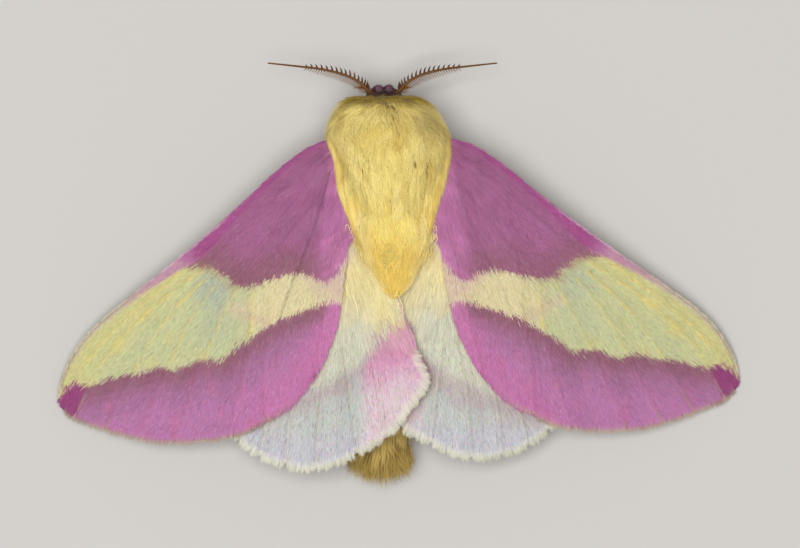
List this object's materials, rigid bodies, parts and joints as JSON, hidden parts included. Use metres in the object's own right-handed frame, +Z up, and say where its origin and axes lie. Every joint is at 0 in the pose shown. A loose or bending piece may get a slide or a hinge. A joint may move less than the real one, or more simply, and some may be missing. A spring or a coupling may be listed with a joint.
{
  "type": "rosy maple moth",
  "caption": "Life-size rosy maple moth at rest on its feet, woolly yellow body, half-spread pink and yellow wings, feathered antennae.",
  "frame": {"origin": "on the floor, under the middle of the whole moth's bounding box", "axes": "+Z up, the moth faces -Y, its left side is at +X, and the wings reach furthest along X"},
  "size_m": [0.0356, 0.0225, 0.0075],
  "materials": {
    "forewing_scales": "matte dusting of rose and pale yellow scales",
    "hindwing_scales": "matte dusting of cream and faint pink scales",
    "yellow_coat": "soft yellow wool",
    "rosy_coat": "short dull pink wool",
    "antenna_amber": "satin amber horn",
    "eye_dark": "glossy dark brown facets"
  },
  "bodies": {
    "root": {"head": "rosy_coat", "eye_left": "eye_dark", "eye_right": "eye_dark", "antenna_left": "antenna_amber", "antenna_right": "antenna_amber", "thorax": "yellow_coat", "abdomen": "yellow_coat", "forewing_left": "forewing_scales", "forewing_right": "forewing_scales", "hindwing_left": "hindwing_scales", "hindwing_right": "hindwing_scales", "leg_front_left": "rosy_coat", "leg_front_right": "rosy_coat", "leg_middle_left": "rosy_coat", "leg_middle_right": "rosy_coat", "leg_hind_left": "rosy_coat", "leg_hind_right": "rosy_coat"}
  },
  "joints": []
}
